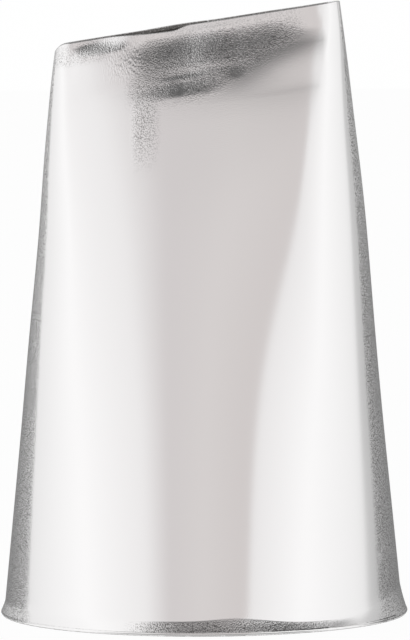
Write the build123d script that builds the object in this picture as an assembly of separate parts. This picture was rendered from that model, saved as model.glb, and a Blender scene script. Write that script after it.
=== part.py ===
import os
from math import atan, cos, radians, sin

from build123d import *

os.makedirs("parts", exist_ok=True)

# A petal piping tube: one sheet of steel rolled into a cone, welded down the back,
# pressed flat towards the tip and cut off at a slant. Z is up from the resting rim,
# X runs to the tall narrow end of the slot and Y to the welded back.

# Driving sizes in millimetres and degrees
tube_height = 50.8
rim_radius = 16.92
sheet_wall = 0.4
rim_turn = 61
rim_bend_radius = 0.82
rim_land_depth = 0.06
collar_lean = 9
tip_half_width = 11.94
tip_half_depth = 2.15
tip_shift = -0.25
cut_slope = 8.6
wide_corner_radius = 1.3
narrow_corner_radius = 0.25
seam_width = 0.8
seam_crown = 0.1
side_clearance = 0.1
cut_overrun = 5.0

# Levels up the cone from the collar to the slot, the last one cut away
level_shares = (0, 0.14, 0.32, 0.5, 0.68, 0.82, 0.88, 0.92, 0.96, 1, 1.03)
pressed_level = level_shares.index(0.82)

# How far each level has narrowed from the collar to the tip sizes. The depth narrows
# faster over the last levels, where the tip was pressed.
width_change_shares = (0, 0.133, 0.317, 0.488, 0.65, 0.783, 0.849, 0.895, 0.945, 1, 1.042)
depth_change_shares = (0, 0.137, 0.307, 0.471, 0.635, 0.775, 0.837, 0.903, 0.966, 1, 1.012)

# How far round each end the flat faces run on, as a share of the fullest turn
wide_turn_shares = (0.44, 0.43, 0.41, 0.36, 0.34, 0.38, 0.41, 0.41, 0.4, 0.36, 0.35)
narrow_turn_shares = (0.44, 0.43, 0.38, 0.3, 0.25, 0.3, 0.36, 0.41, 0.43, 0.4, 0.38)

# Sizes of the rim that follow from the sheet and its bend
rim_outer_rise = rim_bend_radius + sheet_wall
bend_height = rim_outer_rise * sin(radians(rim_turn)) - rim_land_depth
bend_centre_radius = rim_radius + rim_bend_radius * cos(radians(rim_turn))
collar_radius = bend_centre_radius - rim_bend_radius * cos(radians(collar_lean))
collar_height = bend_height - rim_bend_radius * sin(radians(collar_lean))

# The slot's plane, which slants up to the narrow end
slope_sin, slope_cos = sin(radians(cut_slope)), cos(radians(cut_slope))
slot_half_length = tip_half_width + side_clearance
half_corner_tan = (1 + slope_sin) / slope_cos
# Rounding the narrow corner lowers it, so the sharp corner starts higher
corner_rise = narrow_corner_radius * (half_corner_tan * slope_sin + slope_cos - 1)
slot_height = tube_height + corner_rise - slot_half_length * slope_sin
cone_height = slot_height - collar_height


def blend(start, end, share):
    return start + (end - start) * share


def oval(half_width, half_depth, wide_turn_share, narrow_turn_share, inset):
    """Four arcs, set in: two flat faces that run on into a wide and a narrow end."""
    fullest_turn = 2 * atan(half_depth / half_width)
    wide_turn = fullest_turn * wide_turn_share
    narrow_turn = fullest_turn * narrow_turn_share
    wide_sin, wide_cos = sin(wide_turn), cos(wide_turn)
    narrow_sin, narrow_cos = sin(narrow_turn), cos(narrow_turn)
    wide_gain = (1 - wide_sin) / wide_cos
    narrow_gain = (1 - narrow_sin) / narrow_cos
    spare_width = 2 * half_width - half_depth * (wide_gain + narrow_gain)
    wide_hold = wide_sin - (1 - wide_cos) * wide_gain
    narrow_hold = narrow_sin - (1 - narrow_cos) * narrow_gain
    face_radius = spare_width / (wide_hold + narrow_hold)
    wide_radius = (half_depth - face_radius * (1 - wide_cos)) / wide_cos
    narrow_radius = (half_depth - face_radius * (1 - narrow_cos)) / narrow_cos
    wide_centre = wide_radius - half_width
    narrow_centre = half_width - narrow_radius
    crown = wide_centre + (face_radius - wide_radius) * wide_sin
    wide_x = wide_centre - (wide_radius - inset) * wide_sin
    wide_y = (wide_radius - inset) * wide_cos
    narrow_x = narrow_centre + (narrow_radius - inset) * narrow_sin
    narrow_y = (narrow_radius - inset) * narrow_cos
    wide_tip = (inset - half_width, 0)
    narrow_tip = (half_width - inset, 0)
    back_crown = (crown, half_depth - inset)
    front_crown = (crown, inset - half_depth)
    narrow_arc = ThreePointArc((narrow_x, -narrow_y), narrow_tip, (narrow_x, narrow_y))
    back_arc = ThreePointArc((narrow_x, narrow_y), back_crown, (wide_x, wide_y))
    wide_arc = ThreePointArc((wide_x, wide_y), wide_tip, (wide_x, -wide_y))
    front_arc = ThreePointArc((wide_x, -wide_y), front_crown, (narrow_x, -narrow_y))
    return make_face([narrow_arc, back_arc, wide_arc, front_arc])


def cone_solid(inset):
    """The pressed cone, its surface set in from the outside of the sheet.

    Its levels tilt a little more each, from the level collar to the slanted slot.
    """
    sections = []
    for level, width_change, depth_change, wide_turn_share, narrow_turn_share in zip(
        level_shares,
        width_change_shares,
        depth_change_shares,
        wide_turn_shares,
        narrow_turn_shares,
    ):
        half_width = blend(collar_radius, tip_half_width, width_change)
        half_depth = blend(collar_radius, tip_half_depth, depth_change)
        outline = oval(half_width, half_depth, wide_turn_share, narrow_turn_share, inset)
        place = Pos(tip_shift * level, 0, collar_height + cone_height * level)
        sections.append(place * Rot(0, -cut_slope * level, 0) * outline)
    return loft(sections)


def rim_point(surface_radius, turn):
    """A point of the bent rim, measured from the centre of its bend."""
    return (
        bend_centre_radius - surface_radius * cos(radians(turn)),
        bend_height - surface_radius * sin(radians(turn)),
    )


def rim_ring(inset):
    """The turned-out rim below the collar, cut flat where it rests."""
    inner_bend_radius = rim_bend_radius + inset
    middle_turn = (collar_lean + rim_turn) / 2
    collar_outside = (collar_radius, collar_height)
    collar_inside = (collar_radius - inset, collar_height)
    outer_edge = rim_point(rim_bend_radius, rim_turn)
    inner_edge = rim_point(inner_bend_radius, rim_turn)
    inner_start = rim_point(inner_bend_radius, collar_lean)
    outer_bend = ThreePointArc(
        collar_outside, rim_point(rim_bend_radius, middle_turn), outer_edge
    )
    inner_bend = ThreePointArc(
        inner_edge, rim_point(inner_bend_radius, middle_turn), inner_start
    )
    outline = make_face(
        [
            outer_bend,
            Line(outer_edge, inner_edge),
            inner_bend,
            Line(inner_start, collar_inside),
            Line(collar_inside, collar_outside),
        ]
    )
    ring = revolve(Plane.XZ * outline, Axis.Z)
    return split(ring, Plane.XY, keep=Keep.TOP)


def kept_profile():
    """Side outline of what the slanted cut leaves, with its two corners rounded."""
    pressed_height_share = 1 - level_shares[pressed_level]
    pressed_width_share = 1 - width_change_shares[pressed_level]
    narrowing = (collar_radius - tip_half_width) * pressed_width_share
    lean = narrowing / (cone_height * pressed_height_share)
    reach, rise = slot_half_length * slope_cos, slot_half_length * slope_sin
    wide_corner = (tip_shift - reach, slot_height - rise)
    narrow_corner = (tip_shift + reach, slot_height + rise)
    wide_foot_x = wide_corner[0] - lean * (wide_corner[1] + cut_overrun)
    narrow_foot_x = narrow_corner[0] + lean * (narrow_corner[1] + cut_overrun)
    wide_foot = (wide_foot_x, -cut_overrun)
    narrow_foot = (narrow_foot_x, -cut_overrun)
    cut_edge = FilletPolyline(
        [wide_foot, wide_corner, narrow_corner, narrow_foot],
        radius=[wide_corner_radius, narrow_corner_radius],
    )
    return make_face([*cut_edge.edges(), Line(narrow_foot, wide_foot)])


def rolled_sheet(inset):
    """The whole tube as one closed sheet, with its inside set in by the inset."""
    cone = cone_solid(0) - cone_solid(inset)
    keep_depth = rim_radius + cut_overrun
    keep = extrude(Plane.XZ * kept_profile(), amount=keep_depth, both=True)
    return (cone + rim_ring(inset)) & keep


# The gap down the back of the rolled sheet, which the weld fills face to face
seam_depth = rim_radius + cut_overrun
seam_height = tube_height + 2 * cut_overrun
seam_gap = Pos(0, seam_depth / 2, tube_height / 2) * Box(seam_width, seam_depth, seam_height)

nozzle_shell = rolled_sheet(sheet_wall) - seam_gap
seam_weld = rolled_sheet(sheet_wall + seam_crown) & seam_gap

for name, piece in {"nozzle_shell": nozzle_shell, "seam_weld": seam_weld}.items():
    print(name, "solids", len(piece.solids()), "volume", round(piece.volume, 1))
    export_step(piece, f"parts/{name}.step")
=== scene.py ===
from math import atan2, cos, pi, radians, sin, tan

import bpy
import numpy as np
from mathutils import Matrix, Vector


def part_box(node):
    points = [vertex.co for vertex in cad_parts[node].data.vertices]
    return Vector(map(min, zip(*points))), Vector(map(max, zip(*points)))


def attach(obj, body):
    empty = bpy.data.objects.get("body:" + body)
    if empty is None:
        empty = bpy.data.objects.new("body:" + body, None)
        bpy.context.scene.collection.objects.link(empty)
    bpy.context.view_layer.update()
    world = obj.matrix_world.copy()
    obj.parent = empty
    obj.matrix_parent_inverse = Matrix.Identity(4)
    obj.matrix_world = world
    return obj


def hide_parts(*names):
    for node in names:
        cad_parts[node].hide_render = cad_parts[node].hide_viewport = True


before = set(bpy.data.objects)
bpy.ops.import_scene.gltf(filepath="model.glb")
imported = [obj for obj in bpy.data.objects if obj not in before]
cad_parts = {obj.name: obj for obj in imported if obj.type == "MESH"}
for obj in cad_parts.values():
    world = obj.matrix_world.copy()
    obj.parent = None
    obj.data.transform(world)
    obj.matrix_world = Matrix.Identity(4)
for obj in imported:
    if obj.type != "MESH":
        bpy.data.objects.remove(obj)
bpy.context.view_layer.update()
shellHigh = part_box("nozzle_shell")[1]
millimetre = 0.001
print("frame loaded, the tube is", round(shellHigh.z / millimetre, 2), "mm tall")

# Stainless steel tube, sizes in mm and degrees
tube = {
    "height": shellHigh.z / millimetre,
    "rimRadius": shellHigh.x / millimetre,
    "wall": 0.4,
    "collarDrop": 0.412,    # how far the cone's foot lies inside the rim's edge
    "collarHeight": 0.879,
    "tipHalfWidth": 11.94,
    "tipHalfDepth": 2.15,
    "tipShift": -0.315,     # how far the slot's middle lies from the rim's
    "cutSlope": 8.6,
    "wideCorner": 1.0,
    "narrowCorner": 0.25,
    "sideClearance": 0.1,
    "edgeRounding": 0.05,   # what the cutter and the polish left of the cut edges
    "edgeSteps": 4,
    "edgeReach": 0.3,       # how far below the cut the rounding looks for the wall's slope
    "seamHalfWidth": 0.4,
    "turnEase": 0.6,        # share of a face's turn over which it eases into the end
    "endSamples": 160,
    "faceSamples": 500,
    "columns": (76, 130),   # vertices round a half: the ends together, and the face
    "levels": 420,          # sections worked out, between which the rows are placed
    "tipShare": 0.86,       # the share of the height above which the rows are closer
    "outsideRows": (64, 60),
    "insideRows": (24, 30),
    "cutShares": (0.9, 1.02),  # between which the cut is looked for
    "cutSteps": 40,
    "slopeStep": 0.002,
}

# Levels up the cone, the last one cut away, and how far each has changed towards the tip's sizes
levelShares = (0, 0.14, 0.32, 0.5, 0.68, 0.82, 0.88, 0.92, 0.96, 1, 1.03)
pressedLevel = levelShares.index(0.82)
widthShares = (0.003, 0.147, 0.33, 0.493, 0.66, 0.799, 0.863, 0.908, 0.958, 1.012, 1.054)
depthShares = (0, 0.137, 0.307, 0.471, 0.635, 0.775, 0.84, 0.895, 0.958, 1, 1.012)
wideTurnShares = (0.44, 0.43, 0.41, 0.36, 0.34, 0.38, 0.41, 0.41, 0.4, 0.36, 0.35)
narrowTurnShares = (0.44, 0.43, 0.38, 0.28, 0.2, 0.24, 0.31, 0.37, 0.41, 0.4, 0.38)
# The cone's middle wanders a little between the rim's and the slot's
shiftShares = (0.24, 0.32, 0.43, 0.4, 0.3, 0.75, 0.86, 0.94, 0.98, 1, 1)

cutSlope = radians(tube["cutSlope"])
collarRadius = tube["rimRadius"] - tube["collarDrop"]
collarHeight = tube["collarHeight"]
slotHalfLength = tube["tipHalfWidth"] + tube["sideClearance"]
halfCornerTan = (1 + sin(cutSlope)) / cos(cutSlope)
cornerRise = tube["narrowCorner"] * (halfCornerTan * sin(cutSlope) + cos(cutSlope) - 1)
slotHeight = tube["height"] + cornerRise - slotHalfLength * sin(cutSlope)
coneHeight = slotHeight - collarHeight


def smoothThrough(positions, values):
    # a cubic through the points with no bend at its two ends
    x, y = np.array(positions, float), np.array(values, float)
    step, count = np.diff(x), len(x)
    system, right = np.eye(count), np.zeros(count)
    for i in range(1, count - 1):
        system[i, i - 1 : i + 2] = step[i - 1], 2 * (step[i - 1] + step[i]), step[i]
        right[i] = 6 * ((y[i + 1] - y[i]) / step[i] - (y[i] - y[i - 1]) / step[i - 1])
    bend = np.linalg.solve(system, right)

    def at(where):
        i = np.clip(np.searchsorted(x, where, side="right") - 1, 0, count - 2)
        after, before, h = where - x[i], x[i + 1] - where, step[i]
        return (
            (bend[i] * before**3 + bend[i + 1] * after**3) / (6 * h)
            + (y[i] / h - bend[i] * h / 6) * before
            + (y[i + 1] / h - bend[i + 1] * h / 6) * after
        )

    return at


widthAt = smoothThrough(levelShares, widthShares)
depthAt = smoothThrough(levelShares, depthShares)
wideTurnAt = smoothThrough(levelShares, wideTurnShares)
narrowTurnAt = smoothThrough(levelShares, narrowTurnShares)
shiftAt = smoothThrough(levelShares, shiftShares)


def smoothStep(low, high, value):
    share = np.clip((value - low) / (high - low), 0, 1)
    return share * share * (3 - 2 * share)


def between(limits, value):
    # rises over the first two limits and fades over the last two
    rise, full, fade, end = limits
    return smoothStep(rise, full, value) * (1 - smoothStep(fade, end, value))


def halfOutline(level):
    # the back half of a section as normal angle, x and y, from the narrow end to the wide one,
    # and the angles at which its face begins and ends
    halfWidth = collarRadius + (tube["tipHalfWidth"] - collarRadius) * float(widthAt(level))
    halfDepth = collarRadius + (tube["tipHalfDepth"] - collarRadius) * float(depthAt(level))
    fullest = 2 * atan2(halfDepth, halfWidth)
    narrowTurn = fullest * float(narrowTurnAt(level))
    wideTurn = fullest * float(wideTurnAt(level))
    narrowJoin, wideJoin = pi / 2 - narrowTurn, pi / 2 + wideTurn
    narrowEase, wideEase = tube["turnEase"] * narrowTurn, tube["turnEase"] * wideTurn
    narrowBreak, wideBreak = narrowJoin - narrowEase, wideJoin + wideEase
    angle = np.concatenate([
        np.linspace(0, narrowBreak, tube["endSamples"])[:-1],
        np.linspace(narrowBreak, wideBreak, tube["faceSamples"])[:-1],
        np.linspace(wideBreak, pi, tube["endSamples"]),
    ])
    offNarrow = smoothStep(narrowBreak, narrowJoin + narrowEase, angle)
    onWide = smoothStep(wideJoin - wideEase, wideBreak, angle)
    weights = np.stack([1 - offNarrow, offNarrow * (1 - onWide), onWide])
    step = np.diff(angle)

    def run(values):
        mean = (values[..., 1:] + values[..., :-1]) / 2 * step
        return np.concatenate([np.zeros(values.shape[:-1] + (1,)), np.cumsum(mean, -1)], -1)

    acrossRun = run(weights * np.sin(angle))
    upRun = run(weights * np.cos(angle))
    atCrown = np.array([np.interp(pi / 2, angle, row) for row in upRun])
    radii = np.linalg.solve(
        np.stack([acrossRun[:, -1], atCrown, upRun[:, -1]]),
        np.array([2 * halfWidth, halfDepth, 0]),
    )
    return angle, halfWidth - radii @ acrossRun, radii @ upRun, narrowBreak, wideBreak


def columnAngles(level, outline):
    # the normal angle at each column, from the weld round the narrow end, front and wide end
    angle, x, _, narrowBreak, wideBreak = outline
    ends, face = tube["columns"]
    shift = tube["tipShift"] * float(shiftAt(level))
    seam = [(side * tube["seamHalfWidth"] - shift) / cos(cutSlope * level) for side in (1, -1)]
    rightSeam, leftSeam = (float(np.interp(-place, -x, angle)) for place in seam)
    return np.concatenate([
        np.linspace(rightSeam, narrowBreak, face // 2, endpoint=False),
        np.linspace(narrowBreak, -narrowBreak, ends, endpoint=False),
        np.linspace(-narrowBreak, -wideBreak, face, endpoint=False),
        np.linspace(-wideBreak, wideBreak - 2 * pi, ends, endpoint=False),
        np.linspace(wideBreak - 2 * pi, leftSeam - 2 * pi, face // 2 + 1),
    ])


def weldAngles(level, outline):
    angle, x = outline[:2]
    places = np.linspace(1, -1, weld["columns"]) * tube["seamHalfWidth"]
    shift = tube["tipShift"] * float(shiftAt(level))
    return np.interp(-(places - shift) / cos(cutSlope * level), -x, angle)


def inTube(level, x, y):
    # from a section's own plane to the tube's frame
    tilt = cutSlope * level
    return np.stack([
        tube["tipShift"] * float(shiftAt(level)) + x * cos(tilt),
        y,
        collarHeight + coneHeight * level + x * sin(tilt),
    ], -1)


def surfaceStack(pickAngles, inset):
    # the cone's surface, set in from the outside of the sheet, at every level
    rows = []
    for level in stackLevels:
        outline = halfOutline(level)
        angles = pickAngles(level, outline)
        folded = np.abs(np.where(angles < -pi, angles + 2 * pi, angles))
        side = np.where((angles < 0) & (angles > -pi), -1, 1)
        x = np.interp(folded, outline[0], outline[1]) - inset * np.cos(folded)
        y = side * (np.interp(folded, outline[0], outline[2]) - inset * np.sin(folded))
        rows.append(inTube(level, x, y))
    return np.stack(rows)


stackLevels = np.linspace(0, levelShares[-1], tube["levels"])

# Steps that the press left in the wall, in mm: place along the slot, depth below it, turn in
# degrees, half length, half width, and how far the wall on the slot's side of each is pushed in
press = {
    "marks": (
        (-0.9, 1.7, 0, 6.2, 1.0, 0.2),
        (5.8, 1.6, 4, 4, 1.1, 0.14),
        (0, 3.5, 0, 5.2, 0.4, -0.06),
        (-1.6, 4.1, 0, 2.2, 0.12, 0.06),
        (2.7, 4.4, 0, 1, 0.5, 0.05),
        (-2, 5.1, 0, 4.2, 0.65, 0.17),
        (8.5, 4.7, 0, 6.2, 1.8, -0.24),
        (-7.6, 3.2, 0, 4.8, 1.6, -0.23),
        (-8.5, 0.72, 2, 3, 0.6, 0.52),
        (0.5, 0.4, 0, 8.5, 0.35, -0.1),
        (8.2, 1, 0, 2.6, 0.9, -0.1),
    ),
    "endFade": (10, 11.5),       # the marks die out over the ends of the slot
    "backShare": 0.7,            # the back wall is pressed less, and the other way round
    "dip": (-8, -2.4, -0.9),     # a dip in the slot's front edge: its start, deepest place and end
    "dipDepth": 0.28,
    "crest": (-1.8, 3.4, 0.06),  # a rise in the back edge: its place, half length and height
}


def belowSlot(points):
    cutHeight = slotHeight + (points[:, 0] - tube["tipShift"]) * tan(cutSlope)
    return (cutHeight - points[:, 2]) * cos(cutSlope)


def pressed(points):
    # the same points with the wall pushed in by the marks
    front = points[:, 1] < 0
    along = np.where(front, points[:, 0], -points[:, 0])
    below = belowSlot(points)
    push = np.zeros(len(points))
    for place, depth, turn, halfLength, halfWidth, amount in press["marks"]:
        turnSin, turnCos = sin(radians(turn)), cos(radians(turn))
        length = (along - place) * turnCos - (below - depth) * turnSin
        across = (along - place) * turnSin + (below - depth) * turnCos
        window = np.clip(1 - (length / halfLength) ** 2, 0, 1) ** 2
        push += amount * window * (1 - smoothStep(-halfWidth, halfWidth, across))
    push *= 1 - smoothStep(*press["endFade"], np.abs(points[:, 0]))
    push *= np.where(front, 1, press["backShare"])
    moved = points.copy()
    moved[:, 1] += np.where(front, push, -push)
    return moved


def sample(stack, levels):
    # the surface at a level for each column, by a curve through the four nearest rows
    where = levels / stackLevels[-1] * (len(stackLevels) - 1)
    base = np.clip(np.floor(where).astype(int), 1, len(stackLevels) - 3)
    t = (where - base)[:, None]
    column = np.arange(stack.shape[1])
    p0, p1, p2, p3 = (stack[base + k, column] for k in (-1, 0, 1, 2))
    square, cube = 2 * p0 - 5 * p1 + 4 * p2 - p3, 3 * p1 - 3 * p2 + p3 - p0
    return pressed((2 * p1 + (p2 - p0) * t + square * t**2 + cube * t**3) / 2)


def insideCut(points):
    # positive where the slanted cut and its two rounded corners leave the sheet
    narrowing = (collarRadius - tube["tipHalfWidth"]) * (1 - widthShares[pressedLevel])
    lean = narrowing / (coneHeight * (1 - levelShares[pressedLevel]))
    start, deepest, end = press["dip"]
    dip = press["dipDepth"] * between((start, deepest, deepest, end), points[:, 0])
    crestPlace, crestHalfLength, crestHeight = press["crest"]
    offCrest = (points[:, 0] - crestPlace) / crestHalfLength
    crest = crestHeight * np.clip(1 - offCrest**2, 0, 1) ** 2
    below = belowSlot(points) + np.where(points[:, 1] < 0, -dip, crest)
    depth = below.copy()
    for side, rounding in ((-1, tube["wideCorner"]), (1, tube["narrowCorner"])):
        cornerX = tube["tipShift"] + side * slotHalfLength * cos(cutSlope)
        cornerZ = slotHeight + side * slotHalfLength * sin(cutSlope)
        within = (cornerX - points[:, 0]) * side + lean * (cornerZ - points[:, 2])
        within /= (1 + lean**2) ** 0.5
        atCorner = (below < rounding) & (within < rounding)
        corner = rounding - np.hypot(rounding - below, rounding - within)
        depth = np.where(atCorner, np.minimum(depth, corner), depth)
        depth = np.where(within < 0, -1, depth)
    return depth


def cutLevels(stack):
    # the level at which the cut meets each column
    low, high = (np.full(stack.shape[1], share) for share in tube["cutShares"])
    for _ in range(tube["cutSteps"]):
        middle = (low + high) / 2
        kept = insideCut(sample(stack, middle)) > 0
        low, high = np.where(kept, middle, low), np.where(kept, high, middle)
    return low


def unit(vectors):
    return vectors / np.linalg.norm(vectors, axis=-1, keepdims=True)


def hermite(start, startWay, end, endWay, count):
    # rows that leave one surface along its slope and arrive along the other's, each way as long
    # as its pull
    length = np.linalg.norm(end - start, axis=-1, keepdims=True)
    rows = []
    for t in np.linspace(0, 1, count + 2)[1:-1]:
        places = (2 * t**3 - 3 * t**2 + 1) * start + (3 * t**2 - 2 * t**3) * end
        slopes = (t**3 - 2 * t**2 + t) * startWay + (t**3 - t**2) * endWay
        rows.append(places + length * slopes)
    return rows


filletReach = 1.6  # how far from its corner a fillet's outermost rows lie, in its own sizes


def rounded(before, corner, after, size, steps):
    # rows of a small fillet between two straight runs
    back, on = unit(before - corner), unit(after - corner)
    turns = np.linspace(0, pi / 2, steps + 1)
    rows = [corner + filletReach * size * back]
    rows += [corner + size * ((1 - sin(t)) * back + (1 - cos(t)) * on) for t in turns]
    return rows + [corner + filletReach * size * on]


def around(azimuth, radius, height):
    heights = np.full_like(azimuth, height)
    return np.stack([radius * np.cos(azimuth), radius * np.sin(azimuth), heights], -1)


# The turned-out rim, in mm and degrees
rim = {
    "lipHeight": 0.2,
    "lipTurn": 30,          # how far from upright the sheet is at the lip
    "lipSetIn": 0.1,        # the cut face of the lip leans in by this much at its foot
    "footWidth": 0.2,
    "lipRounding": 0.11,
    "lipSteps": 6,
    "footRounding": 0.04,
    "footSteps": 3,
    # where the sheet starts to turn out: place from the left to the right, and height
    "starts": (
        (-17, 1.22), (-12, 1.2), (-8, 1.18), (-4, 1.24), (0, 1.32), (3, 1.5),
        (5, 1.25), (7, 1), (9.5, 0.88), (12, 1), (14, 1.5), (17, 2.7),
    ),
    "startPull": 0.45,      # how long the bend keeps each side's slope, as a share of its length
    "lipPull": 0.6,
    "rows": 16,
}


def heightShares(near, rowCounts):
    # from the cut down to the rim, closer together over the pressed tip
    closeCount, openCount = rowCounts
    tipShare = tube["tipShare"]
    return np.concatenate([
        np.linspace(1 - near, tipShare, closeCount),
        np.linspace(tipShare, 0, openCount)[1:],
    ])


def tubeRows(pickAngles, outerInset, innerInset):
    # rows of the closed sheet: down the outside, round the rim, up the inside and over the cut
    outer, inner = surfaceStack(pickAngles, outerInset), surfaceStack(pickAngles, innerInset)
    azimuth = pickAngles(0, halfOutline(0))
    outerEnd, innerEnd = cutLevels(outer), cutLevels(inner)
    topOuter, topInner = sample(outer, outerEnd), sample(inner, innerEnd)
    near = tube["edgeReach"] / coneHeight
    belowOuter, belowInner = sample(outer, outerEnd - near), sample(inner, innerEnd - near)
    rows = rounded(topInner, topOuter, belowOuter, tube["edgeRounding"], tube["edgeSteps"])

    startHeight = smoothThrough(*zip(*rim["starts"]))(collarRadius * np.cos(azimuth))
    startLevel = np.maximum(startHeight - collarHeight, 0) / coneHeight
    for share in heightShares(near, tube["outsideRows"]):
        rows.append(sample(outer, startLevel + (outerEnd - startLevel) * share))

    turn = radians(rim["lipTurn"])
    lipWay = around(azimuth, sin(turn), -cos(turn))
    lip = around(azimuth, tube["rimRadius"], rim["lipHeight"])
    footRadius = tube["rimRadius"] - rim["lipSetIn"]
    foot = around(azimuth, footRadius, 0)
    footInside = around(azimuth, footRadius - rim["footWidth"], 0)
    wayDown = unit(sample(outer, startLevel) - sample(outer, startLevel + tube["slopeStep"]))
    startPull, lipPull = rim["startPull"], rim["lipPull"]
    rows += hermite(rows[-1], startPull * wayDown, lip, lipPull * lipWay, rim["rows"])
    rows = rows[:-1] + rounded(rows[-2], lip, foot, rim["lipRounding"], rim["lipSteps"])
    rows += rounded(lip, foot, footInside, rim["footRounding"], rim["footSteps"])
    rows.append(footInside)
    insideStart = sample(inner, startLevel)
    wayUp = unit(sample(inner, startLevel + tube["slopeStep"]) - insideStart)
    rows += hermite(footInside, -lipPull * lipWay, insideStart, startPull * wayUp, rim["rows"])

    for share in heightShares(near, tube["insideRows"])[::-1]:
        rows.append(sample(inner, startLevel + (innerEnd - startLevel) * share))
    rows += rounded(belowInner, topInner, topOuter, tube["edgeRounding"], tube["edgeSteps"])
    return np.stack(rows)


def sheetMesh(name, rows):
    # quads between the rows, those inside marked, and a face over each of the two ends at the seam
    rowCount, columnCount = rows.shape[:2]
    index = np.arange(rowCount * columnCount).reshape(rowCount, columnCount)
    following = np.roll(index, -1, 0)
    corners = [index[:, :-1], index[:, 1:], following[:, 1:], following[:, :-1]]
    quads = np.stack(corners, -1).reshape(-1, 4)
    faces = quads.tolist() + [index[:, 0].tolist(), index[::-1, -1].tolist()]
    mesh = bpy.data.meshes.new(name)
    mesh.from_pydata((rows.reshape(-1, 3) * millimetre).tolist(), [], faces)
    mesh.shade_smooth()
    # the inside runs up to the fillet over the cut, which has three rows more than steps
    lowest = rows[:, 0, 2].argmin()
    firstRow = lowest + np.where(rows[lowest:, 0, 2] > rim["lipHeight"])[0][0]
    lastRow = rowCount - 1 - (tube["edgeSteps"] + 3)
    inside = np.zeros(len(mesh.polygons), int)
    inside[firstRow * (columnCount - 1) : lastRow * (columnCount - 1)] = 1
    mesh.polygons.foreach_set("material_index", inside)
    for face in mesh.polygons[-2:]:
        face.use_smooth = False
    mesh.update()
    piece = bpy.data.objects.new(name, mesh)
    bpy.context.scene.collection.objects.link(piece)
    return piece


# The weld down the back, ground flush outside
weld = {"columns": 9, "insideCrown": 0.1}

shellPiece = sheetMesh("rolled_steel_tube", tubeRows(columnAngles, 0, tube["wall"]))
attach(shellPiece, "root")
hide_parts("nozzle_shell")
print("tube made,", len(shellPiece.data.polygons), "faces")

weldPiece = sheetMesh("back_weld", tubeRows(weldAngles, 0, tube["wall"] + weld["insideCrown"]))
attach(weldPiece, "root")
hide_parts("seam_weld")
print("weld made,", len(weldPiece.data.polygons), "faces")


def hexToLinear(text):
    channels = [int(text[i : i + 2], 16) / 255 for i in (1, 3, 5)]
    return tuple(c / 12.92 if c <= 0.04045 else ((c + 0.055) / 1.055) ** 2.4 for c in channels) + (1,)


def addNode(tree, kind, settings=None, inputs=None):
    # an input is a plain value, or another node's output to link
    node = tree.nodes.new(kind)
    for name, value in (settings or {}).items():
        setattr(node, name, value)
    for socket, value in (inputs or {}).items():
        if isinstance(value, bpy.types.NodeSocket):
            tree.links.new(value, node.inputs[socket])
        else:
            node.inputs[socket].default_value = value
    return node


def newMaterial(name):
    material = bpy.data.materials.new(name)
    material.use_nodes = True
    material.node_tree.nodes.clear()
    return material


# Stainless steel, rolled, pressed and tumbled bright: a near mirror whose fine pebbled skin breaks
# up the edges of its dark reflections, coarser where the sheet was pressed, rolled tight or turned
# out, with grey in the pits that is partly polish left in them and partly painted shade where the
# steel reflects dark, and rubbing marks beside the pressed patch.
# Places are mm from the middle (sides) or below the slot (reach). Four limits in a row are where
# something starts, is full, starts to fade and ends
steel = {
    "colour": "#ECEBEB",
    # the pits' grey: partly polish residue, partly painted shade where the steel reflects dark
    "residueAndShade": "#6F6D6B",
    "roughness": 0.12,
    "pebble": 0.1,             # mm across, drawn coarser than real, so that they show in a picture
    "pebbleDetail": 1.5,
    "pitRange": (0.52, 0.36),  # the pebbles' height below which a pit starts and is full
    "patch": 2.6,              # mm across the patches in which the skin is a little finer
    "patchDetail": 3,
    "patchRange": (0.2, 0.4),
    "skinDepth": 0.002,        # mm, of the pebbles where nothing made them coarser
    # mm that the pebbles are deep, and how grey their pits are, the grey partly residue and partly
    # painted shade
    "zones": {
        "pressed": (0.026, 0.62),
        "ends": (0.03, 1),
        "rim": (0.018, 0.9),
    },
    # the pressed patch, which ends sooner to the right and runs on into the low corner
    "pressedSides": (-6.8, -4.8, 7.6, 9),
    "pressedReach": (4.8, 6.8),
    "pressedSlant": 0.43,
    "cornerReach": (1.3, 2.1),
    "lessGreyReach": (0, 2.2),    # its pits are less grey towards the slot, by the share below: less residue and less painted shade
    "lessGreyShare": 0.8,
    # the tail that it trails downward
    "trailSides": (-6, -5.2, -4.4, -3.2),
    "trailReach": (4, 5, 8, 12),
    # the ends' skin stops where they face this squarely to the front
    "endsFacing": (0.42, 0.5),
    # the rim's skin starts where it faces this far upward
    "turnedOut": (0.35, 0.43),
    "turnedOutSides": (-7, -4, 9, 12),
    # the upright rubbing marks
    "scratchWidth": 0.1,
    "scratchLength": 2.4,
    "scratchDetail": 1,
    "scratchDepth": 0.03,
    "scratchSides": (-8.6, -7, -5.2, -4),
    "scratchReach": (0.2, 1, 2.8, 4.2),
    "rubbedAway": 0.85,        # the share of the pebbles that the rubbing took off
}
insideSteel = {"colour": "#8F8D8B", "roughness": 0.34, "grainDepth": 0.014}
weldSteel = {
    "colour": "#DDDBD9",
    "roughness": 0.2,
    "grainWidth": 0.06,
    "grainLength": 1.6,
    "grainDetail": 2,
    "grainDepth": 0.004,
}


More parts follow.
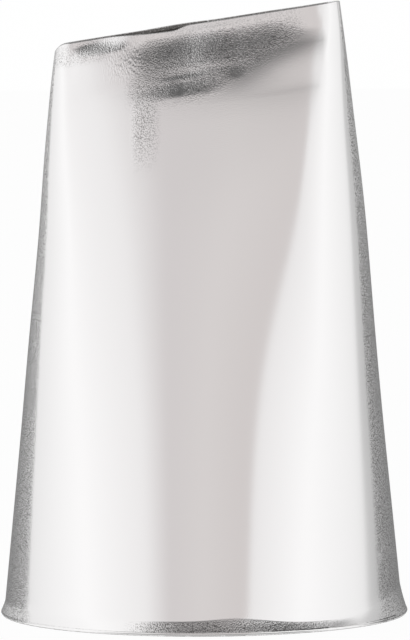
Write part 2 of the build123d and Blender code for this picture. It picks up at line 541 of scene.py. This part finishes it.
def markFinish(mesh):
    # how deep the pebbles and scratches are and how grey the pits, kept for the material; the pits'
    # grey is partly residue and partly painted shade where the steel reflects dark
    points, normals = np.empty(3 * len(mesh.vertices)), np.empty(3 * len(mesh.vertices))
    mesh.vertices.foreach_get("co", points)
    mesh.vertex_normals.foreach_get("vector", normals)
    points = points.reshape(-1, 3) / millimetre
    front = points[:, 1] < 0
    along = np.where(front, points[:, 0], -points[:, 0])
    below = belowSlot(points)

    startSide, fullSide, fadeSide, endSide = steel["pressedSides"]
    slanted = below + steel["pressedSlant"] * np.maximum(along, 0)
    corner = 1 - smoothStep(*steel["cornerReach"], below)
    pressedShare = 1 - smoothStep(*steel["pressedReach"], slanted)
    pressedShare *= np.maximum(smoothStep(startSide, fullSide, along), corner)
    pressedShare *= 1 - smoothStep(fadeSide, endSide, along)
    trail = between(steel["trailSides"], along) * between(steel["trailReach"], below)
    turnedOut = smoothStep(*steel["turnedOut"], normals[2::3])
    turnedOut *= between(steel["turnedOutSides"], along)
    turnedOut *= points[:, 2] < max(height for _, height in rim["starts"])
    shares = {
        "pressed": np.maximum(pressedShare, trail),
        "ends": 1 - smoothStep(*steel["endsFacing"], np.abs(normals[1::3])),
        "rim": turnedOut,
    }

    rubbed = between(steel["scratchSides"], along) * between(steel["scratchReach"], below) * front
    unrubbed = 1 - steel["rubbedAway"] * rubbed
    zones = steel["zones"]
    depth = steel["skinDepth"] + np.max([shares[zone] * zones[zone][0] for zone in zones], 0)
    # partly painted shade: the pits are greyest where the sheet turns sideways or faces up and
    # reflects dark
    grey = np.max([shares[zone] * zones[zone][1] for zone in zones], 0)
    grey *= 1 - steel["lessGreyShare"] * (1 - smoothStep(*steel["lessGreyReach"], below))
    finish = {
        "pebbleDepth": depth * unrubbed * millimetre,
        "pitResidueAndShade": grey * unrubbed,
        "scratchDepth": steel["scratchDepth"] * rubbed * millimetre,
    }
    for name, values in finish.items():
        mesh.attributes.new(name, "FLOAT", "POINT").data.foreach_set("value", values)


def finishMetal(tree, colour, roughness, relief):
    # bare metal over its relief in metres
    bump = addNode(tree, "ShaderNodeBump", None, {"Strength": 1, "Distance": 1, "Height": relief})
    surface = addNode(tree, "ShaderNodeBsdfPrincipled", None, {
        "Base Color": colour, "Metallic": 1, "Roughness": roughness,
        "Normal": bump.outputs["Normal"],
    })
    addNode(tree, "ShaderNodeOutputMaterial", None, {"Surface": surface.outputs["BSDF"]})


def makeSteel():
    material = newMaterial("stainless_sheet_tumbled_bright")
    tree = material.node_tree
    place = addNode(tree, "ShaderNodeTexCoord").outputs["Object"]
    kept = {
        name: addNode(tree, "ShaderNodeAttribute", {"attribute_name": name}).outputs["Fac"]
        for name in ("pebbleDepth", "pitResidueAndShade", "scratchDepth")
    }
    pebbles = addNode(tree, "ShaderNodeTexNoise", None, {
        "Vector": place, "Scale": 1 / (steel["pebble"] * millimetre),
        "Detail": steel["pebbleDetail"],
    }).outputs["Fac"]
    patches = addNode(tree, "ShaderNodeTexNoise", None, {
        "Vector": place, "Scale": 1 / (steel["patch"] * millimetre), "Detail": steel["patchDetail"],
    }).outputs["Fac"]
    patchStart, patchFull = steel["patchRange"]
    coarse = addNode(tree, "ShaderNodeMapRange", {"interpolation_type": "SMOOTHSTEP"}, {
        "Value": patches, "From Min": patchStart, "From Max": patchFull,
    }).outputs["Result"]
    depth = addNode(tree, "ShaderNodeMath", {"operation": "MULTIPLY"}, {
        0: kept["pebbleDepth"], 1: coarse,
    })
    width, length = steel["scratchWidth"], steel["scratchLength"]
    upright = addNode(tree, "ShaderNodeMapping", None, {
        "Vector": place, "Scale": (1, 1, width / length),
    })
    scratches = addNode(tree, "ShaderNodeTexNoise", None, {
        "Vector": upright.outputs["Vector"], "Scale": 1 / (width * millimetre),
        "Detail": steel["scratchDetail"],
    }).outputs["Fac"]
    lines = addNode(tree, "ShaderNodeMath", {"operation": "MULTIPLY"}, {
        0: scratches, 1: kept["scratchDepth"],
    })
    relief = addNode(tree, "ShaderNodeMath", {"operation": "MULTIPLY_ADD"}, {
        0: pebbles, 1: depth.outputs["Value"], 2: lines.outputs["Value"],
    })
    pitStart, pitFull = steel["pitRange"]
    pits = addNode(tree, "ShaderNodeMapRange", {"interpolation_type": "SMOOTHSTEP"}, {
        "Value": pebbles, "From Min": pitStart, "From Max": pitFull,
    }).outputs["Result"]
    greyPits = addNode(tree, "ShaderNodeMath", {"operation": "MULTIPLY"}, {
        0: pits, 1: kept["pitResidueAndShade"],
    })
    greyShare = addNode(tree, "ShaderNodeMath", {"operation": "MULTIPLY"}, {
        0: greyPits.outputs["Value"], 1: coarse,
    })
    # the pits' grey mixed into the steel's colour, partly polish residue and partly painted shade
    colour = addNode(tree, "ShaderNodeMix", {"data_type": "RGBA"}, {
        "Factor": greyShare.outputs["Value"],
        "A": hexToLinear(steel["colour"]), "B": hexToLinear(steel["residueAndShade"]),
    })
    finishMetal(tree, colour.outputs["Result"], steel["roughness"], relief.outputs["Value"])
    return material


def makeInsideSteel():
    # the inside, left as it was rolled: duller and darker than the tumbled outside
    material = newMaterial("stainless_sheet_as_rolled")
    tree = material.node_tree
    place = addNode(tree, "ShaderNodeTexCoord").outputs["Object"]
    grain = addNode(tree, "ShaderNodeTexNoise", None, {
        "Vector": place, "Scale": 1 / (steel["pebble"] * millimetre),
        "Detail": steel["pebbleDetail"],
    }).outputs["Fac"]
    relief = addNode(tree, "ShaderNodeMath", {"operation": "MULTIPLY"}, {
        0: grain, 1: insideSteel["grainDepth"] * millimetre,
    }).outputs["Value"]
    finishMetal(tree, hexToLinear(insideSteel["colour"]), insideSteel["roughness"], relief)
    return material


def makeWeldSteel():
    # weld bead ground flush and brushed along its length: a narrow, slightly duller stripe
    material = newMaterial("stainless_weld_ground_flush")
    tree = material.node_tree
    place = addNode(tree, "ShaderNodeTexCoord").outputs["Object"]
    width, length = weldSteel["grainWidth"], weldSteel["grainLength"]
    upright = addNode(tree, "ShaderNodeMapping", None, {
        "Vector": place, "Scale": (1, 1, width / length),
    })
    grain = addNode(tree, "ShaderNodeTexNoise", None, {
        "Vector": upright.outputs["Vector"], "Scale": 1 / (width * millimetre),
        "Detail": weldSteel["grainDetail"],
    }).outputs["Fac"]
    relief = addNode(tree, "ShaderNodeMath", {"operation": "MULTIPLY"}, {
        0: grain, 1: weldSteel["grainDepth"] * millimetre,
    }).outputs["Value"]
    finishMetal(tree, hexToLinear(weldSteel["colour"]), weldSteel["roughness"], relief)
    return material


markFinish(shellPiece.data)
insideMaterial = makeInsideSteel()
for piece, outsideMaterial in ((shellPiece, makeSteel()), (weldPiece, makeWeldSteel())):
    piece.data.materials.append(outsideMaterial)
    piece.data.materials.append(insideMaterial)
print("steel made")

# Studio, in mm: a white sweep in a round tent of cloth, lit from outside, with a grey card that
# fades in overhead. Angles are from the camera's side, positive to the right, each with the grey
# that the steel shows
studio = {
    "radius": 900,
    "wallHeight": 1150,
    "wallFoot": 1,
    "clothReach": 17,          # how near the tube's middle the cloth comes on the floor, up to the rim, where it is painted shade of the floor at the foot
    "clothLift": 0.01,
    "ringSteps": 180,
    "floorSize": 6000,
    "floorColour": "#FAFAFA",
    "floorShadowShare": 0.04,  # how much of the sweep's look is left to light and shadow
    "strength": 1.19,          # lets the steel show the greys of cloth and card as written
    "walls": (
        (-180, "#BEBEBE"), (-166, "#BCBCBC"), (-150, "#C8C8C8"), (-134, "#CECECE"),
        (-127, "#DADADA"), (-119, "#EAEAEA"), (-72, "#FBFBFB"), (-34, "#ECEBEB"),
        (-20, "#D0CCCC"), (0, "#D5D1D0"), (25, "#CEC9C8"), (28, "#E9E8E8"),
        (60, "#FAFAFA"), (98, "#EFEFEF"), (107, "#E9E9E9"), (113, "#C8C8C8"),
        (130, "#B4B4B4"), (158, "#A8A8A8"), (180, "#BEBEBE"),
    ),
    # the cloth on the floor, seen only by the steel: greys by angle of the surroundings, and where it
    # meets the rim, painted shade of the floor at the tube's foot
    "floorClothAndShade": (
        (-180, "#8E8E8E"), (-72, "#8A8A8A"), (-60, "#F8F8F8"), (-34, "#F8F8F8"),
        (-22, "#B0B0B0"), (-14, "#A0A0A0"), (28, "#A0A0A0"), (38, "#F4F4F4"),
        (49, "#F8F8F8"), (61, "#7A7A7A"), (180, "#8E8E8E"),
    ),
    "cardTurn": 165,           # degrees to each side
    "cardWithin": 0.98,        # its share of the tent's radius
    "cardFoot": (480, 1000),   # it fades in between these heights
    "cardLeft": (-640, -380),  # and these places across
    "cardRight": (892, 855),
    "cardBack": 420,           # how far back it runs overhead
    "cardSteps": 80,
    "cardColour": "#5E5E5E",
}


def stagePiece(name, points, faces, material, cameraSees):
    mesh = bpy.data.meshes.new(name)
    mesh.from_pydata([tuple(c * millimetre for c in point) for point in points], [], faces)
    mesh.update()
    mesh.materials.append(material)
    piece = bpy.data.objects.new(name, mesh)
    bpy.context.scene.collection.objects.link(piece)
    piece.visible_camera = cameraSees
    piece.visible_shadow = cameraSees
    return piece


def makeClothMaterial(name, greys):
    # tent cloth, brighter before the lamps
    material = newMaterial(name)
    tree = material.node_tree
    place = addNode(tree, "ShaderNodeTexCoord").outputs["Object"]
    parts = addNode(tree, "ShaderNodeSeparateXYZ", None, {"Vector": place})
    towards = addNode(tree, "ShaderNodeMath", {"operation": "MULTIPLY"}, {
        0: parts.outputs["Y"], 1: -1,
    })
    turn = addNode(tree, "ShaderNodeMath", {"operation": "ARCTAN2"}, {
        0: parts.outputs["X"], 1: towards.outputs["Value"],
    })
    share = addNode(tree, "ShaderNodeMapRange", None, {
        "Value": turn.outputs["Value"], "From Min": -pi, "From Max": pi,
    })
    ramp = addNode(tree, "ShaderNodeValToRGB", None, {"Fac": share.outputs["Result"]})
    stops = ramp.color_ramp.elements
    colours = [((degrees + 180) / 360, hexToLinear(grey)) for degrees, grey in greys]
    stops[0].color, stops[1].color = colours[0][1], colours[-1][1]
    for where, colour in colours[1:-1]:
        stops.new(where).color = colour
    light = addNode(tree, "ShaderNodeEmission", None, {
        "Strength": studio["strength"], "Color": ramp.outputs["Color"],
    })
    addNode(tree, "ShaderNodeOutputMaterial", None, {"Surface": light.outputs["Emission"]})
    return material


def makeCardMaterial():
    # grey card behind a layer of cloth: it fades out downward and to its sides
    material = newMaterial("overhead_card")
    tree = material.node_tree
    place = addNode(tree, "ShaderNodeTexCoord").outputs["Object"]
    parts = addNode(tree, "ShaderNodeSeparateXYZ", None, {"Vector": place})
    share = 1
    for source, name in (("Z", "cardFoot"), ("X", "cardLeft"), ("X", "cardRight")):
        start, full = (limit * millimetre for limit in studio[name])
        shown = addNode(tree, "ShaderNodeMapRange", {"interpolation_type": "SMOOTHSTEP"}, {
            "Value": parts.outputs[source], "From Min": start, "From Max": full,
        })
        both = addNode(tree, "ShaderNodeMath", {"operation": "MULTIPLY"}, {
            0: share, 1: shown.outputs["Result"],
        })
        share = both.outputs["Value"]
    clear = addNode(tree, "ShaderNodeBsdfTransparent")
    card = addNode(tree, "ShaderNodeEmission", None, {
        "Strength": studio["strength"], "Color": hexToLinear(studio["cardColour"]),
    })
    mixed = addNode(tree, "ShaderNodeMixShader", None, {
        0: share, 1: clear.outputs["BSDF"], 2: card.outputs["Emission"],
    })
    addNode(tree, "ShaderNodeOutputMaterial", None, {"Surface": mixed.outputs["Shader"]})
    return material


def makeFloorMaterial():
    # a white sweep: mostly its own white for the camera and the steel, the rest takes the shadow
    material = newMaterial("white_sweep")
    tree = material.node_tree
    rays = addNode(tree, "ShaderNodeLightPath")
    seen = rays.outputs["Is Camera Ray"]
    for name in ("Is Glossy Ray", "Is Transmission Ray"):
        added = addNode(tree, "ShaderNodeMath", {"operation": "ADD", "use_clamp": True}, {
            0: seen, 1: rays.outputs[name],
        })
        seen = added.outputs["Value"]
    share = addNode(tree, "ShaderNodeMath", {"operation": "MULTIPLY"}, {
        0: seen, 1: 1 - studio["floorShadowShare"],
    })
    paper = addNode(tree, "ShaderNodeBsdfDiffuse", None, {
        "Color": hexToLinear(studio["floorColour"]),
    })
    white = addNode(tree, "ShaderNodeEmission", None, {"Strength": 1})
    mixed = addNode(tree, "ShaderNodeMixShader", None, {
        0: share.outputs["Value"], 1: paper.outputs["BSDF"], 2: white.outputs["Emission"],
    })
    addNode(tree, "ShaderNodeOutputMaterial", None, {"Surface": mixed.outputs["Shader"]})
    return material


def ringPoints(radius, height, turns):
    return [(radius * sin(turn), -radius * cos(turn), height) for turn in turns]


def bandFaces(count, closed=False):
    # quads between two rows of points
    faces = []
    for i in range(count if closed else count - 1):
        following = (i + 1) % count
        faces.append((i, following, count + following, count + i))
    return faces


def makeStudio():
    half = studio["floorSize"] / 2
    corners = [(-half, -half, 0), (half, -half, 0), (half, half, 0), (-half, half, 0)]
    stagePiece("floor", corners, [(0, 1, 2, 3)], makeFloorMaterial(), True)
    steps, radius, top = studio["ringSteps"], studio["radius"], studio["wallHeight"]
    turns = [2 * pi * (i + 0.5) / steps for i in range(steps)]
    wall = ringPoints(radius, studio["wallFoot"], turns) + ringPoints(radius, top, turns)
    wallMaterial = makeClothMaterial("tent_cloth", studio["walls"])
    stagePiece("tent_wall", wall, bandFaces(steps, True), wallMaterial, False)
    # the cloth runs on over the floor for what the steel reflects, and leaves the floor its shadow;
    # up against the rim it is painted shade, the shaded floor at the foot that the rim reflects
    lift = studio["clothLift"]
    cloth = ringPoints(studio["clothReach"], lift, turns) + ringPoints(radius, lift, turns)
    floorClothAndShadeMaterial = makeClothMaterial("tent_floor", studio["floorClothAndShade"])
    floorClothAndShadePiece = stagePiece("floor_cloth_and_foot_shade", cloth, bandFaces(steps, True), floorClothAndShadeMaterial, False)
    floorClothAndShadePiece.visible_diffuse = False
    # the card hangs just inside the wall and runs back overhead
    widest = radians(studio["cardTurn"])
    turns = np.linspace(-widest, widest, studio["cardSteps"])
    within = studio["cardWithin"] * radius
    card = ringPoints(within, studio["cardFoot"][0], turns) + ringPoints(within, top, turns)
    card += [(within * sin(turn), studio["cardBack"], top) for turn in turns]
    faces = bandFaces(len(turns))
    faces += [tuple(corner + len(turns) for corner in face) for face in faces]
    stagePiece("overhead_card", card, faces, makeCardMaterial(), False)
    world = bpy.data.worlds.new("studio_white")
    bpy.context.scene.world = world
    world.use_nodes = True
    world.node_tree.nodes["Background"].inputs["Color"].default_value = (1, 1, 1, 1)
    world.node_tree.nodes["Background"].inputs["Strength"].default_value = 1


makeStudio()
print("studio made")

# Camera, in mm and pixels of the 410 by 640 picture
view = {
    "place": (0.175, -600, 72.54),
    "target": (0.175, 0, 24.38),
    "focalPixels": 7255.8,
    "pictureHeight": 640,
    "sensor": 36,
    "roll": -0.28,  # degrees
    "reach": (10, 20000),
}


def makeCamera():
    camera = bpy.data.cameras.new("camera")
    camera.sensor_width = view["sensor"]
    camera.lens = view["focalPixels"] * view["sensor"] / view["pictureHeight"]
    piece = bpy.data.objects.new("camera", camera)
    bpy.context.scene.collection.objects.link(piece)
    place, target = (Vector(view[name]) * millimetre for name in ("place", "target"))
    forward = (target - place).normalized()
    right = forward.cross(Vector((0, 0, 1))).normalized()
    up = right.cross(forward)
    roll = radians(view["roll"])
    across = right * cos(roll) + up * sin(roll)
    above = up * cos(roll) - right * sin(roll)
    turn = Matrix((across, above, -forward)).transposed().to_4x4()
    piece.matrix_world = Matrix.Translation(place) @ turn
    camera.clip_start, camera.clip_end = (limit * millimetre for limit in view["reach"])
    bpy.context.scene.camera = piece


makeCamera()
bpy.context.scene.view_settings.view_transform = "Standard"

print("all placed")
